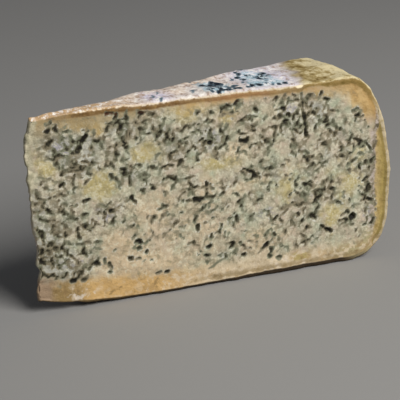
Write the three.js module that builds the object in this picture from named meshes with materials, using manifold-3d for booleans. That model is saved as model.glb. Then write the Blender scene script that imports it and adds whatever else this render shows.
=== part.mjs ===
// A retail wedge of natural-rind blue cheese, cut from a flat farmhouse wheel.
//
// The wedge is one solid. It stands on the wheel's base with its cut faces upright: the tip, from the
// wheel's centre, points along -X, and the rounded rind wall is at +X. The two cuts lie either side of
// the XZ plane, the front one facing -Y. The wheel has sagged as it ripened, so its wall is fullest low
// down. Along the rind the knife has rolled the cut's edge over, the tip has crumbled and lifted, and
// both cuts are open in places where mould has parted the curd. Lengths are in millimetres.

import * as THREE from "three";
import { mergeVertices } from "three/addons/utils/BufferGeometryUtils.js";
import Module from "manifold-3d";

const { degToRad, lerp, smoothstep } = THREE.MathUtils;

// The wheel
const WHEEL_RADIUS = 164.8;
const WHEEL_HEIGHT = 86;
const BELLY_HEIGHT = 23; // where the sagged wall is fullest
const TOP_FLAT_RADIUS = 139.5; // where the top turns down into the shoulder
const BASE_FLAT_RADIUS = 144.5; // where the base lifts off what it stands on
const CORNER_POWER = 2.25; // 2 would make the corners plain ellipses

// The cut
const WEDGE_ANGLE = degToRad(15);
const TIP_WIDTH = 2.4;
const TOP_EDGE_RADIUS = 2.3; // the rolled edge between the tip and the crack
const WALL_EDGE_RADIUS = 1.7; // the same edge from the crack down the wall
const TIP_EDGE_RADIUS = 0.7;
const TIP_EDGE_REACH = 40;
const BASE_EDGE_RADIUS = 1.1;
const CRACK_RADIUS = 119; // how far out from the tip the crack is

// Unevenness
const TOP_SWELL = 0.55;
const WALL_SWELL = 0.5;
const CUT_SWELL = 0.35;
const BACK_SHOULDER_RISE = 2.2; // how much less the shoulder has sagged at the back cut
const BACK_DIP = 1.2; // how far the top has sunk along the back cut, just before the shoulder
const BACK_DIP_RADIUS = 123;
const BACK_DIP_REACH = 10;
const CRUMB_SPACING = 6.5;
const CRUMB_RELIEF = 0.4;
const TIP_LIFT = 6;
const TIP_LIFT_REACH = 50;
const TIP_BREAK_REACH = 7;
const TIP_SAG = 1.1; // how far the top has worn down at the tip

// How finely the surface is laid out
const STEPS_ALONG = 42;
const STEPS_UP = 24;
const STEPS_ACROSS = 6;
const EDGE_STEPS = 3;
const CORNER_STEPS = 16;

// The larger openings in the front cut: how far out and up the middle is, how long, wide and deep the
// opening is, and how far its long way leans up from level, in degrees.
const FRONT_OPENINGS = {
  crack: { r: 120.6, z: 71.5, length: 25, width: 1.7, depth: 3.2, lean: -81 },
  crackChip: { r: 117.6, z: 85.2, length: 6, width: 4.4, depth: 2, lean: 0 },
  wideOpening: { r: 146.3, z: 21.3, length: 6.4, width: 3.8, depth: 2.8, lean: 35 },
  wideOpeningsNeighbour: { r: 134.1, z: 16, length: 5.4, width: 3.4, depth: 2.4, lean: 10 },
  gapUnderRind: { r: 155.9, z: 26.1, length: 6.5, width: 2, depth: 1.8, lean: -49 },
  middleSlash: { r: 96.4, z: 49.2, length: 9.6, width: 2.2, depth: 1.8, lean: -42 },
  tipSlash: { r: 21.6, z: 72, length: 8.4, width: 2.2, depth: 1.6, lean: 61 },
  holeOverBase: { r: 15.9, z: 9.9, length: 4.2, width: 2.8, depth: 1.4, lean: 0 },
  topEdgePit: { r: 33, z: 83.4, length: 4.6, width: 2.6, depth: 1.6, lean: 0 },
};
const FRONT_SCATTER_COUNT = 10;
const BACK_SCATTER_COUNT = 14;

// The same run of numbers from 0 to 1 each time, for a given seed.
function seededRandom(seed) {
  let state = seed;
  return () => {
    state = (Math.imul(state, 1664525) + 1013904223) >>> 0;
    return state / 2 ** 32;
  };
}

// A slow, wandering swell from about -1 to 1.
function swell(a, b, wavelength) {
  const k = (2 * Math.PI) / wavelength;
  const long = Math.sin(k * (a + 0.6 * b) + 0.7);
  const cross = Math.sin(k * (1.7 * b - 0.5 * a) + 2.1);
  const short = Math.sin(k * (2.3 * a + 1.9 * b) + 4.4);
  return 0.45 * long + 0.35 * cross + 0.2 * short;
}

// Crumbly relief from -1 to 1: a lattice of random heights, smoothed between its points.
function crumbField(seed, spacing) {
  const size = 64;
  const random = seededRandom(seed);
  const heights = Array.from({ length: size * size }, () => 2 * random() - 1);
  const heightAt = (i, j) => heights[(j & (size - 1)) * size + (i & (size - 1))];
  return (a, b) => {
    const [i, j] = [Math.floor(a / spacing), Math.floor(b / spacing)];
    const u = smoothstep(a / spacing - i, 0, 1);
    const v = smoothstep(b / spacing - j, 0, 1);
    const low = lerp(heightAt(i, j), heightAt(i + 1, j), u);
    const high = lerp(heightAt(i, j + 1), heightAt(i + 1, j + 1), u);
    return lerp(low, high, v);
  };
}

const frontCrumbs = crumbField(11, CRUMB_SPACING);
const backCrumbs = crumbField(29, CRUMB_SPACING);

// The tip leans out, is broken back and kicks out again on its way down. Negative is outwards.
function tipOutline(z) {
  const lobe = (height, spread) => Math.exp(-(((z - height) / spread) ** 2));
  const nose = -2.6 * lobe(72.5, 10) - 1.2 * lobe(54, 14);
  const notch = 0.7 * lobe(25, 7) + 2.2 * lobe(13.5, 3.8);
  const wornCorners = 0.9 * lobe(86.5, 3) + 1.1 * lobe(0, 2.5);
  return nose + notch + wornCorners;
}

// Half the wedge's thickness at a distance out from the tip.
function halfWidth(r) {
  return r * Math.sin(WEDGE_ANGLE / 2) + TIP_WIDTH / 2;
}

// The radius that the cut's edge is rolled over to. It shrinks towards the base and the thin tip.
function edgeRadius(r, z) {
  const beyondCrack = smoothstep(r, CRACK_RADIUS, CRACK_RADIUS + 3);
  const rolled = lerp(TOP_EDGE_RADIUS, WALL_EDGE_RADIUS, beyondCrack);
  const upper = lerp(TIP_EDGE_RADIUS, rolled, smoothstep(r, 0, TIP_EDGE_REACH));
  const wanted = lerp(BASE_EDGE_RADIUS, upper, smoothstep(z, 0, 20));
  return Math.min(wanted, 0.75 * halfWidth(r));
}

// A stretch of the section's rounded corner. The turn is 0 at the wall's belly and PI / 2 at the flat.
function cornerPoints(flatRadius, flatHeight, fromTurn, toTurn) {
  return Array.from({ length: CORNER_STEPS + 1 }, (_, i) => {
    const turn = lerp(fromTurn, toTurn, i / CORNER_STEPS);
    const out = Math.cos(turn) ** (2 / CORNER_POWER);
    const up = Math.sin(turn) ** (2 / CORNER_POWER);
    return new THREE.Vector2(lerp(flatRadius, WHEEL_RADIUS, out), lerp(BELLY_HEIGHT, flatHeight, up));
  });
}

// The same line with its points evenly spaced.
function evenly(points, steps) {
  const path = new THREE.CurvePath();
  for (let i = 0; i + 1 < points.length; i++) {
    path.add(new THREE.LineCurve(points[i], points[i + 1]));
  }
  return path.getSpacedPoints(steps);
}

// The wheel's half section as four lines in the plane of radius and height, each from the tip outwards
// or from the base upwards.
function sectionSides() {
  const flat = Math.PI / 2;
  const middle = Math.PI / 4;
  const foot = new THREE.Vector2(0, 0);
  const crown = new THREE.Vector2(0, WHEEL_HEIGHT);
  const lowerWall = cornerPoints(BASE_FLAT_RADIUS, 0, middle, 0);
  const upperWall = cornerPoints(TOP_FLAT_RADIUS, WHEEL_HEIGHT, 0, middle);
  return {
    base: evenly([foot, ...cornerPoints(BASE_FLAT_RADIUS, 0, flat, middle)], STEPS_ALONG),
    wall: evenly([...lowerWall, ...upperWall.slice(1)], STEPS_UP),
    top: evenly([crown, ...cornerPoints(TOP_FLAT_RADIUS, WHEEL_HEIGHT, flat, middle)], STEPS_ALONG),
    tip: evenly([foot, crown], STEPS_UP),
  };
}

// The four sides as one closed loop, anticlockwise from the foot of the tip. Each point knows which way
// is inwards.
function sectionLoop(sides) {
  const points = [
    ...sides.base.slice(0, -1),
    ...sides.wall.slice(0, -1),
    ...sides.top.slice(1).reverse(),
    ...sides.tip.slice(1).reverse(),
  ];
  return points.map((point, i) => {
    const before = points[(i + points.length - 1) % points.length];
    const after = points[(i + 1) % points.length];
    const along = after.clone().sub(before).normalize();
    return { point, inward: new THREE.Vector2(-along.y, along.x) };
  });
}

// Where a section point lies in the wedge, at a share of the way across from -1 on the front cut to 1
// on the back cut.
function place(r, z, share) {
  const angle = (share * WEDGE_ANGLE) / 2;
  const onCut = Math.abs(share) ** 4;
  const onTop = smoothstep(z, WHEEL_HEIGHT - 30, WHEEL_HEIGHT - 4);
  const onWall = smoothstep(r, TOP_FLAT_RADIUS, WHEEL_RADIUS);
  const offBase = smoothstep(z, 1, 14);
  const crumbs = share < 0 ? frontCrumbs : backCrumbs;
  const relief = CUT_SWELL * swell(r, z, 47) + CRUMB_RELIEF * crumbs(r, z);
  const tipLift = TIP_LIFT * Math.max(0, 1 - r / TIP_LIFT_REACH) ** 2 * (1 - z / WHEEL_HEIGHT);
  const onShoulder = smoothstep(r, TOP_FLAT_RADIUS, TOP_FLAT_RADIUS + 15) * smoothstep(z, 40, 80);
  const backRise = BACK_SHOULDER_RISE * onShoulder * ((1 + share) / 2);
  const backDip = BACK_DIP * Math.exp(-(((r - BACK_DIP_RADIUS) / BACK_DIP_REACH) ** 2));
  const tipSag = TIP_SAG * (1 - smoothstep(r, 2, 26));
  const topSag = tipSag + backDip * ((1 + share) / 2) ** 2;
  const topRise = onTop * (TOP_SWELL * swell(r, 30 * share, 62) - topSag);

  const out = r + WALL_SWELL * onWall * offBase * swell(z, 60 * share, 58);
  const x = out * Math.cos(angle) + tipOutline(z) * Math.exp(-r / TIP_BREAK_REACH);
  const y = out * Math.sin(angle) + share * (TIP_WIDTH / 2 + onCut * offBase * relief);
  return new THREE.Vector3(x, y, z + backRise + topRise + tipLift);
}

// The stations that the surface passes from the front cut to the back one. In the rolled edges a station
// gives how far in from the section's outline it is and how far in from the cut, as shares of the edge's
// radius, and between them how far across it is.
function stations() {
  const rolled = Array.from({ length: EDGE_STEPS }, (_, i) => {
    const turn = (Math.PI * i) / (2 * EDGE_STEPS);
    return { fromOutline: 1 - Math.sin(turn), fromCut: 1 - Math.cos(turn) };
  });
  const between = Array.from({ length: STEPS_ACROSS + 1 }, (_, i) => ({
    fromOutline: 0,
    across: -1 + (2 * i) / STEPS_ACROSS,
  }));
  const front = rolled.map((station) => ({ ...station, side: -1 }));
  const back = rolled.map((station) => ({ ...station, side: 1 })).reverse();
  return [...front, ...between, ...back];
}

// A loop point at a station, as a radius, a height and a share of the way across.
function stationSection({ point, inward }, station) {
  const radius = edgeRadius(point.x, point.y);
  const r = point.x + inward.x * radius * station.fromOutline;
  const z = point.y + inward.y * radius * station.fromOutline;
  const half = halfWidth(r);
  const share =
    station.side === undefined
      ? station.across * (1 - radius / half)
      : station.side * (1 - (radius * station.fromCut) / half);
  return [r, z, share];
}

// The points and triangles of a surface under construction.
class Surface {
  points = [];
  triangles = [];

  add(section) {
    this.points.push(place(...section));
    return { vertex: this.points.length - 1, section };
  }

  quad(a, b, c, d) {
    this.triangles.push(a.vertex, b.vertex, c.vertex, a.vertex, c.vertex, d.vertex);
  }

  geometry() {
    const geometry = new THREE.BufferGeometry().setFromPoints(this.points);
    geometry.setIndex(this.triangles);
    return geometry;
  }
}

// Fills a cut face inside its ring of points, with a grid blended from the face's four sides.
function fillCut(surface, ring, side) {
  const stretch = (start, steps, direction) =>
    Array.from({ length: steps + 1 }, (_, i) => ring[(start + direction * i) % ring.length]);
  const base = stretch(0, STEPS_ALONG, 1);
  const wall = stretch(STEPS_ALONG, STEPS_UP, 1);
  const top = stretch(2 * STEPS_ALONG + STEPS_UP, STEPS_ALONG, -1);
  const tip = stretch(ring.length, STEPS_UP, -1);
  const grid = base.map((_, i) =>
    tip.map((_, j) => {
      if (j === 0) return base[i];
      if (j === STEPS_UP) return top[i];
      if (i === 0) return tip[j];
      if (i === STEPS_ALONG) return wall[j];
      const [u, v] = [i / STEPS_ALONG, j / STEPS_UP];
      const [r, z] = [0, 1].map((axis) => {
        const upward = lerp(base[i].section[axis], top[i].section[axis], v);
        const outward = lerp(tip[j].section[axis], wall[j].section[axis], u);
        const low = lerp(base[0].section[axis], wall[0].section[axis], u);
        const high = lerp(tip[STEPS_UP].section[axis], wall[STEPS_UP].section[axis], u);
        return upward + outward - lerp(low, high, v);
      });
      return surface.add([r, z, side]);
    }),
  );
  for (let i = 0; i < STEPS_ALONG; i++) {
    for (let j = 0; j < STEPS_UP; j++) {
      const [foot, out, crown, up] = [grid[i][j], grid[i + 1][j], grid[i + 1][j + 1], grid[i][j + 1]];
      if (side < 0) surface.quad(foot, out, crown, up);
      else surface.quad(foot, up, crown, out);
    }
  }
}

// The slice as the knife left it, before its openings are cut.
function sliceGeometry() {
  const surface = new Surface();
  const loop = sectionLoop(sectionSides());
  const rings = stations().map((station) =>
    loop.map((loopPoint) => surface.add(stationSection(loopPoint, station))),
  );
  for (let k = 0; k + 1 < rings.length; k++) {
    const [near, far] = [rings[k], rings[k + 1]];
    for (let i = 0; i < loop.length; i++) {
      const next = (i + 1) % loop.length;
      surface.quad(near[i], far[i], far[next], near[next]);
    }
  }
  fillCut(surface, rings[0], -1);
  fillCut(surface, rings[rings.length - 1], 1);
  return surface.geometry();
}

// The space of one opening in a cut: a lumpy, flattened ball with its middle on the face.
function openingGeometry({ r, z, length, width, depth, lean }, side, random) {
  const geometry = new THREE.IcosahedronGeometry(1, 1);
  geometry.deleteAttribute("normal");
  geometry.deleteAttribute("uv");
  const ball = mergeVertices(geometry);
  const position = ball.getAttribute("position");
  for (let i = 0; i < position.count; i++) {
    const bulge = lerp(0.78, 1.12, random());
    position.setXYZ(i, position.getX(i) * bulge, position.getY(i) * bulge, position.getZ(i) * bulge);
  }
  const middle = place(r, z, side);
  ball.scale(length / 2, depth, width / 2);
  ball.rotateY(-degToRad(lean));
  ball.rotateZ((side * WEDGE_ANGLE) / 2);
  ball.translate(middle.x, middle.y, middle.z);
  return ball;
}

// Small openings scattered over the paste of a cut, clear of the rind.
function scatteredOpenings(count, random) {
  return Array.from({ length: count }, () => ({
    r: lerp(25, 150, random()),
    z: lerp(16, 76, random()),
    length: lerp(3, 7, random()),
    width: lerp(1.6, 2.8, random()),
    depth: lerp(1, 2, random()),
    lean: lerp(-80, 80, random()),
  }));
}

const wasm = await Module();
wasm.setup();

function toSolid(geometry) {
  const vertProperties = geometry.getAttribute("position").array;
  const triVerts = Uint32Array.from(geometry.getIndex().array);
  return new wasm.Manifold(new wasm.Mesh({ numProp: 3, vertProperties, triVerts }));
}

function toGeometry(solid) {
  const { vertProperties, triVerts } = solid.getMesh();
  const geometry = new THREE.BufferGeometry();
  geometry.setAttribute("position", new THREE.BufferAttribute(vertProperties, 3));
  geometry.setIndex(new THREE.BufferAttribute(triVerts, 1));
  return geometry;
}

// The finished wedge, with the middle of its box's underside at the origin.
function wedgeGeometry() {
  const random = seededRandom(7);
  const scattered = scatteredOpenings(FRONT_SCATTER_COUNT, random);
  const frontOpenings = [...Object.values(FRONT_OPENINGS), ...scattered];
  const backOpenings = scatteredOpenings(BACK_SCATTER_COUNT, random);
  let wedge = toSolid(sliceGeometry());
  for (const opening of frontOpenings) {
    wedge = wedge.subtract(toSolid(openingGeometry(opening, -1, random)));
  }
  for (const opening of backOpenings) {
    wedge = wedge.subtract(toSolid(openingGeometry(opening, 1, random)));
  }
  const geometry = toGeometry(wedge);
  geometry.computeBoundingBox();
  const { min, max } = geometry.boundingBox;
  geometry.translate(-(min.x + max.x) / 2, -(min.y + max.y) / 2, -min.z);
  geometry.computeVertexNormals();
  return geometry;
}

const paste = new THREE.MeshStandardMaterial({ color: 0xb3a888, roughness: 0.6, metalness: 0 });
const wedge = new THREE.Mesh(wedgeGeometry(), paste);
wedge.name = "cheese_wedge";

const cheese = new THREE.Group();
cheese.add(wedge);
export default cheese;
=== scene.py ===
"""A wedge of natural-rind blue cheese: the looks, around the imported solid."""

import math

import bpy
import numpy as np
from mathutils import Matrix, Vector


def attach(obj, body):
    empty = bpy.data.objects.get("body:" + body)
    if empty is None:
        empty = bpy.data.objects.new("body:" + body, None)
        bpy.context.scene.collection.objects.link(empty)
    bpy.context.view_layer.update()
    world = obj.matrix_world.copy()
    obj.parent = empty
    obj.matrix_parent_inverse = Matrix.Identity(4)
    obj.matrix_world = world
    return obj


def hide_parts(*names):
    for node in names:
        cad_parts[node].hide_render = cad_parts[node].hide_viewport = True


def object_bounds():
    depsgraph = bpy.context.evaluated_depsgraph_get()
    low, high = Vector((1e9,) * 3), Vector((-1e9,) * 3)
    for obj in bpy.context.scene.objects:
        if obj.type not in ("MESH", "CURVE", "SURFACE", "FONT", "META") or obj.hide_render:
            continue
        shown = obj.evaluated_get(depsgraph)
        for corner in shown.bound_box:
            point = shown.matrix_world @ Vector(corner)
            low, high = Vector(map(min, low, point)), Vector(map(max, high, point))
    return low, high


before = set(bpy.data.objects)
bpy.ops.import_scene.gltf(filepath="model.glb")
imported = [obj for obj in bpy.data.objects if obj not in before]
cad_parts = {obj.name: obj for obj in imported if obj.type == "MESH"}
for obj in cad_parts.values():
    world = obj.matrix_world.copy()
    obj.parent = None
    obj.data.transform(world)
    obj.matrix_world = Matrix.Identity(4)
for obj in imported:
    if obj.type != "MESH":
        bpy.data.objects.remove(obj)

cad_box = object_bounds()

# ---- Camera -------------------------------------------------------------------------------------
# A long lens, set back from the table and a little above the wedge, to the left of the front cut.
# It looks down on the top and along the cut, so the tip is nearest on the left.

# Sizes and places are in millimetres, unless a comment says otherwise.
MM = 0.001
CAMERA_AZIMUTH = math.radians(-30.24)
CAMERA_ELEVATION = math.radians(21.44)
CAMERA_PLACE = (-285.56, -484.34, 255.56)
SENSOR_WIDTH = 36
# In pixels.
FRAME_WIDTH = 400
FOCAL_LENGTH = 1400

camera_data = bpy.data.cameras.new("camera")
camera_data.sensor_width = SENSOR_WIDTH
camera_data.lens = SENSOR_WIDTH * FOCAL_LENGTH / FRAME_WIDTH
camera = bpy.data.objects.new("camera", camera_data)
camera.location = Vector(CAMERA_PLACE) * MM
camera.rotation_euler = (math.pi / 2 - CAMERA_ELEVATION, 0, CAMERA_AZIMUTH)
bpy.context.collection.objects.link(camera)
bpy.context.scene.camera = camera

# ---- The slice ----------------------------------------------------------------------------------
# One piece of a ripened wheel, pressed from curd and cut with a wire from its centre to its wall. The
# wheel has sagged, so the wall is fullest low down, and the tip has crumbled and lifted. The wire has
# rolled the rind's edge over along both cuts.

# The wheel's section, with rounded corners, and the slice's angle and blunt tip, which juts out past
# the wheel's middle.
WHEEL_RADIUS = 164.8
WHEEL_HEIGHT = 86
BELLY_HEIGHT = 23
TOP_FLAT_RADIUS = 139.5
BASE_FLAT_RADIUS = 144.5
CORNER_POWER = 2.25
WEDGE_ANGLE = math.radians(15)
TIP_WIDTH = 2.4
TIP_OVERHANG = 2.74
# How far the rind's edge is rolled over on the cuts, and where the rolled edge of the top ends.
TOP_EDGE_RADIUS = 2.3
WALL_EDGE_RADIUS = 1.7
TIP_EDGE_RADIUS = 0.7
TIP_EDGE_REACH = 40
BASE_EDGE_RADIUS = 1.1
CRACK_RADIUS = 119
# How far the faces swell and sink, and how far apart the swells are.
TOP_SWELL = 0.55
TOP_SWELL_LENGTH = 62
WALL_SWELL = 0.5
WALL_SWELL_LENGTH = 58
CUT_SWELL = 0.35
CUT_SWELL_LENGTH = 47
# How the back of the shoulder rises, the back of the top dips, and the tip lifts, breaks and sags.
BACK_SHOULDER_RISE = 2.2
BACK_DIP = 1.2
BACK_DIP_RADIUS = 123
BACK_DIP_REACH = 10
TIP_LIFT = 6
TIP_LIFT_REACH = 50
TIP_BREAK_REACH = 7
TIP_SAG = 1.1
TIP_SAG_REACH = 26
# How finely the mesh is divided.
STEPS_ALONG = 250
STEPS_UP = 130
STEPS_ACROSS = 28
EDGE_STEPS = 5
CORNER_STEPS = 60
# How far the crumbled tip is worn back, or juts out where negative, how high up and over what spread.
TIP_WEAR = [(-2.6, 72.5, 10), (-1.2, 54, 14), (0.7, 25, 7), (2.2, 13.5, 3.8), (0.9, 86.5, 3), (1.1, 0, 2.5)]


def smoothstep(value, low, high):
    share = np.clip((value - low) / (high - low), 0, 1)
    return share * share * (3 - 2 * share)


def swell(a, b, wavelength):
    """A slow, wandering swell from about -1 to 1."""
    k = 2 * math.pi / wavelength
    long = np.sin(k * (a + 0.6 * b) + 0.7)
    cross = np.sin(k * (1.7 * b - 0.5 * a) + 2.1)
    short = np.sin(k * (2.3 * a + 1.9 * b) + 4.4)
    return 0.45 * long + 0.35 * cross + 0.2 * short


def half_width(r):
    return r * math.sin(WEDGE_ANGLE / 2) + TIP_WIDTH / 2


def edge_radius(r, z):
    """The radius that the cut's edge is rolled over to. It shrinks towards the base and the tip."""
    beyond_crack = smoothstep(r, CRACK_RADIUS, CRACK_RADIUS + 3)
    rolled = TOP_EDGE_RADIUS + (WALL_EDGE_RADIUS - TOP_EDGE_RADIUS) * beyond_crack
    upper = TIP_EDGE_RADIUS + (rolled - TIP_EDGE_RADIUS) * smoothstep(r, 0, TIP_EDGE_REACH)
    wanted = BASE_EDGE_RADIUS + (upper - BASE_EDGE_RADIUS) * smoothstep(z, 0, 20)
    return np.minimum(wanted, 0.75 * half_width(r))


def corner(flat_radius, flat_height, from_turn, to_turn):
    """A stretch of a rounded corner of the section, from 0 at the belly to a quarter turn at the flat."""
    turn = np.linspace(from_turn, to_turn, CORNER_STEPS + 1)
    out = np.cos(turn) ** (2 / CORNER_POWER)
    up = np.sin(turn) ** (2 / CORNER_POWER)
    r = flat_radius + (WHEEL_RADIUS - flat_radius) * out
    z = BELLY_HEIGHT + (flat_height - BELLY_HEIGHT) * up
    return np.stack([r, z], axis=1)


def evenly(stretches, steps):
    """One line through all the stretches, with its points evenly spaced."""
    points = np.concatenate(stretches)
    lengths = np.linalg.norm(np.diff(points, axis=0), axis=1)
    along = np.concatenate([[0], np.cumsum(lengths)])
    wanted = np.linspace(0, along[-1], steps + 1)
    return np.stack([np.interp(wanted, along, points[:, axis]) for axis in (0, 1)], axis=1)


FLAT = math.pi / 2
MIDDLE = math.pi / 4
foot = np.array([[0.0, 0.0]])
crown = np.array([[0.0, WHEEL_HEIGHT]])
lower_wall = corner(BASE_FLAT_RADIUS, 0, MIDDLE, 0)
upper_wall = corner(TOP_FLAT_RADIUS, WHEEL_HEIGHT, 0, MIDDLE)
base_line = evenly([foot, corner(BASE_FLAT_RADIUS, 0, FLAT, MIDDLE)], STEPS_ALONG)
wall_line = evenly([lower_wall, upper_wall[1:]], STEPS_UP)
top_line = evenly([crown, corner(TOP_FLAT_RADIUS, WHEEL_HEIGHT, FLAT, MIDDLE)], STEPS_ALONG)
tip_line = evenly([foot, crown], STEPS_UP)
outline = np.concatenate([base_line[:-1], wall_line[:-1], top_line[:0:-1], tip_line[:0:-1]])
along_outline = np.roll(outline, -1, axis=0) - np.roll(outline, 1, axis=0)
along_outline /= np.linalg.norm(along_outline, axis=1, keepdims=True)
inward = np.stack([-along_outline[:, 1], along_outline[:, 0]], axis=1)


def ring(from_outline, from_cut=None, side=None, across=None):
    """The outline at one station between the cuts, as radius, height and share of the way across."""
    radius = edge_radius(outline[:, 0], outline[:, 1])
    r = outline[:, 0] + inward[:, 0] * radius * from_outline
    z = outline[:, 1] + inward[:, 1] * radius * from_outline
    half = half_width(r)
    share = across * (1 - radius / half) if side is None else side * (1 - radius * from_cut / half)
    return np.stack([r, z, share], axis=1)


edge_turns = np.arange(EDGE_STEPS) * math.pi / (2 * EDGE_STEPS)
front_rings = [ring(1 - math.sin(turn), 1 - math.cos(turn), side=-1) for turn in edge_turns]
back_rings = [ring(1 - math.sin(turn), 1 - math.cos(turn), side=1) for turn in edge_turns[::-1]]
middle_rings = [ring(0, across=share) for share in np.linspace(-1, 1, STEPS_ACROSS + 1)]
rings = np.stack(front_rings + middle_rings + back_rings)
ring_vertices = np.arange(rings.shape[0] * rings.shape[1]).reshape(rings.shape[:2])

near, far = ring_vertices[:-1], ring_vertices[1:]
band = np.stack([near, far, np.roll(far, -1, axis=1), np.roll(near, -1, axis=1)], axis=2)
sections = [rings.reshape(-1, 3)]
quads = [band.reshape(-1, 4)]


def fill_cut(cut_ring, first_vertex, side, next_vertex):
    """Fills a cut face inside its ring with a grid blended from the face's four sides."""
    count = len(cut_ring)
    order = {
        "base": np.arange(STEPS_ALONG + 1),
        "wall": STEPS_ALONG + np.arange(STEPS_UP + 1),
        "top": (2 * STEPS_ALONG + STEPS_UP - np.arange(STEPS_ALONG + 1)) % count,
        "tip": (count - np.arange(STEPS_UP + 1)) % count,
    }
    line = {name: cut_ring[places, :2] for name, places in order.items()}
    u = np.linspace(0, 1, STEPS_ALONG + 1)[:, None, None]
    v = np.linspace(0, 1, STEPS_UP + 1)[None, :, None]
    upward = (1 - v) * line["base"][:, None] + v * line["top"][:, None]
    outward = (1 - u) * line["tip"][None, :] + u * line["wall"][None, :]
    low = (1 - u) * line["base"][0] + u * line["wall"][0]
    high = (1 - u) * line["tip"][-1] + u * line["wall"][-1]
    face = upward + outward - ((1 - v) * low + v * high)
    inner = face[1:-1, 1:-1].reshape(-1, 2)
    grid = np.empty((STEPS_ALONG + 1, STEPS_UP + 1), dtype=int)
    grid[1:-1, 1:-1] = next_vertex + np.arange(len(inner)).reshape(STEPS_ALONG - 1, STEPS_UP - 1)
    grid[:, 0] = first_vertex + order["base"]
    grid[:, -1] = first_vertex + order["top"]
    grid[0, :] = first_vertex + order["tip"]
    grid[-1, :] = first_vertex + order["wall"]
    corners = [grid[:-1, :-1], grid[1:, :-1], grid[1:, 1:], grid[:-1, 1:]]
    if side > 0:
        corners.reverse()
    sections.append(np.column_stack([inner, np.full(len(inner), side)]))
    quads.append(np.stack(corners, axis=2).reshape(-1, 4))
    return next_vertex + len(inner)


vertex_count = fill_cut(rings[0], ring_vertices[0, 0], -1, ring_vertices.size)
vertex_count = fill_cut(rings[-1], ring_vertices[-1, 0], 1, vertex_count)
# The share of the way across runs from -1 on the front cut to 1 on the back cut.
radius_mm, height_mm, share = np.concatenate(sections).T
quads = np.concatenate(quads)


def tip_outline(z):
    """How far the crumbled tip leans back from the wheel's centre. Negative is outwards."""
    return sum(wear * np.exp(-(((z - height) / spread) ** 2)) for wear, height, spread in TIP_WEAR)


def lattice_noise(points, spacing, seed):
    """Crumbly noise from -1 to 1: a lattice of random heights, smoothed between its points."""
    size = 32
    heights = np.random.default_rng(seed).uniform(-1, 1, (size, size, size))
    place = points / spacing
    cell = np.floor(place).astype(int)
    near_weight = place - cell
    near_weight = near_weight * near_weight * (3 - 2 * near_weight)
    total = np.zeros(len(points))
    for corner_offset in np.ndindex(2, 2, 2):
        weight = np.prod(np.where(corner_offset, near_weight, 1 - near_weight), axis=1)
        i, j, k = ((cell + corner_offset) % size).T
        total += weight * heights[i, j, k]
    return total


def wheel_places():
    """Where each vertex lies, in millimetres from the middle of the wheel's base."""
    angle = share * WEDGE_ANGLE / 2
    on_cut = np.abs(share) ** 4
    on_top = smoothstep(height_mm, WHEEL_HEIGHT - 30, WHEEL_HEIGHT - 4)
    on_wall = smoothstep(radius_mm, TOP_FLAT_RADIUS, WHEEL_RADIUS)
    off_base = smoothstep(height_mm, 1, 14)
    on_shoulder = smoothstep(radius_mm, TOP_FLAT_RADIUS, TOP_FLAT_RADIUS + 15)
    on_shoulder *= smoothstep(height_mm, 40, 80)
    lift_share = np.maximum(0, 1 - radius_mm / TIP_LIFT_REACH) ** 2
    tip_lift = TIP_LIFT * lift_share * (1 - height_mm / WHEEL_HEIGHT)
    back_rise = BACK_SHOULDER_RISE * on_shoulder * (1 + share) / 2
    tip_sag = TIP_SAG * (1 - smoothstep(radius_mm, 2, TIP_SAG_REACH))
    back_dip = BACK_DIP * np.exp(-(((radius_mm - BACK_DIP_RADIUS) / BACK_DIP_REACH) ** 2))
    top_sag = tip_sag + back_dip * ((1 + share) / 2) ** 2
    top_rise = on_top * (TOP_SWELL * swell(radius_mm, 30 * share, TOP_SWELL_LENGTH) - top_sag)
    relief = CUT_SWELL * swell(radius_mm, height_mm, CUT_SWELL_LENGTH)
    bulge = WALL_SWELL * on_wall * off_base * swell(height_mm, 60 * share, WALL_SWELL_LENGTH)
    out = radius_mm + bulge
    x = out * np.cos(angle) + tip_outline(height_mm) * np.exp(-radius_mm / TIP_BREAK_REACH)
    y = out * np.sin(angle) + share * (TIP_WIDTH / 2 + on_cut * off_base * relief)
    return np.stack([x, y, height_mm + back_rise + top_rise + tip_lift], axis=1)


places = wheel_places()


def outward_normals(points):
    """Each vertex's outward direction, averaged over its faces."""
    a, b, c, d = (points[quads[:, k]] for k in range(4))
    face = np.cross(c - a, d - b)
    total = np.zeros(points.shape)
    for k in range(4):
        np.add.at(total, quads[:, k], face)
    return total / np.linalg.norm(total, axis=1, keepdims=True)


normals = outward_normals(places)


def distance_to(line, points, chunk=4096):
    """How far each point is from the nearest point of a line."""
    nearest = [
        np.sqrt(((points[i : i + chunk, None] - line[None]) ** 2).sum(axis=2).min(axis=1))
        for i in range(0, len(points), chunk)
    ]
    return np.concatenate(nearest)


section_points = np.stack([radius_mm, height_mm], axis=1)
crust_line = np.concatenate([wall_line, top_line])
crust_depth = distance_to(crust_line, section_points)
base_depth = distance_to(base_line, section_points)

# ---- The veins ----------------------------------------------------------------------------------
# The wheel was spiked with needles, and blue mould grew where air reached the gaps between the curd
# grains. A cut shows it as short dark strokes and specks, strung along the grains' edges, with clear
# paste between. On the top, the same mould shows through the pale bloom in a few patches.

CURD_SPACING = 5.4
CURD_JITTER = 0.48
SOFT_EDGE = 0.6
SOFTER_IF_WEAK = 0.7
HALO_WIDTH = 1.2
HOLLOW_DEPTH = 1.4
HOLLOW_STRENGTH = 0.6
STRAY_SHARE = 0.12
OFF_EDGE = 0.4
LEAN_SPREAD = 20
FRONT_SEED = 5
BACK_SEED = 8
TOP_SEED = 14
# How far the strokes are bent: those that a rule draws, those named below and the top's.
DRAWN_BEND = 0.9
NAMED_BEND = 0.5
TOP_BEND = 0.7
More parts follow.
